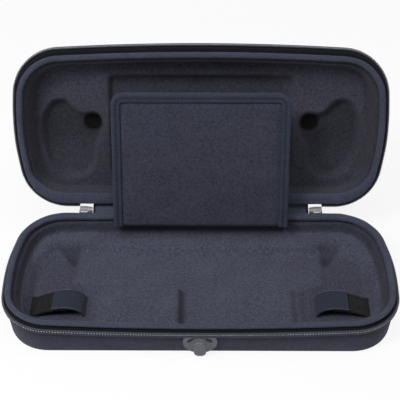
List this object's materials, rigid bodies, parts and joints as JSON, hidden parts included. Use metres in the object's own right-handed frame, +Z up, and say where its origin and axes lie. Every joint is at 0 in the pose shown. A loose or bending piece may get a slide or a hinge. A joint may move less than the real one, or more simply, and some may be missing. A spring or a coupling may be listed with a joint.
{
  "type": "console storage case",
  "caption": "Zipped hard-shell storage case for a handheld games console, open, with a moulded tray, grip straps, a padded screen flap and a hinged lid.",
  "frame": {"origin": "centre of the flat underside of the base half, on the surface the case stands on", "axes": "+X to the right along the long side, +Y to the rear where the lid is hinged, +Z up"},
  "size_m": [0.312, 0.2176, 0.1594],
  "materials": {
    "shell_cloth": "matt woven cloth over moulded foam",
    "liner_cloth": "matt brushed knit over moulded foam",
    "lip_cloth": "matt woven cloth, padded roll",
    "zip_tape": "woven zip tape",
    "zip_coil": "satin coil",
    "zip_metal": "bright plated metal",
    "tab_rubber": "soft matt rubber",
    "strap_webbing": "smooth stretch webbing",
    "hook_and_loop": "hook-and-loop pile",
    "hinge_cloth": "woven cloth",
    "flap_cloth": "brushed knit",
    "binding_cloth": "stitched woven edging"
  },
  "bodies": {
    "base": {"base_shell": "shell_cloth", "base_liner": "liner_cloth", "base_lip": "lip_cloth", "base_zip_tape": "zip_tape", "base_zip_coil": "zip_coil", "grip_tab": "tab_rubber", "strap_left": "strap_webbing", "strap_right": "strap_webbing", "strap_fastener_left": "hook_and_loop", "strap_fastener_right": "hook_and_loop", "zip_slider_left": "zip_metal", "zip_slider_right": "zip_metal", "hinge_strip": "hinge_cloth", "flap_hinge_tape": "hinge_cloth"},
    "lid": {"lid_shell": "shell_cloth", "lid_liner": "liner_cloth", "lid_lip": "lip_cloth", "lid_zip_tape": "zip_tape", "lid_zip_coil": "zip_coil"},
    "flap": {"flap_panel": "flap_cloth", "flap_binding": "binding_cloth"},
    "pull_left": {"zip_pull_left": "zip_metal"},
    "pull_right": {"zip_pull_right": "zip_metal"}
  },
  "joints": [
    {"name": "lid_hinge", "type": "hinge", "parent": "base", "child": "lid", "pos_m": [0, 0.0704, 0.0293], "axis": [1, 0, 0], "range_deg": [0, 110], "deforming": ["hinge_strip"]},
    {"name": "flap_fold", "type": "hinge", "parent": "base", "child": "flap", "pos_m": [0, 0.0552, 0.027], "axis": [1, 0, 0], "range_deg": [0, 110]},
    {"name": "pull_left_swing", "type": "hinge", "parent": "base", "child": "pull_left", "pos_m": [-0.0983, 0.07525, 0.0241], "axis": [0, 1, 0], "range_deg": [-80, 80]},
    {"name": "pull_right_swing", "type": "hinge", "parent": "base", "child": "pull_right", "pos_m": [0.0983, 0.07525, 0.0241], "axis": [0, 1, 0], "range_deg": [-80, 80]}
  ],
  "couplings": [
    {"joint": "flap_fold", "follows": "lid_hinge", "ratio": 1}
  ]
}
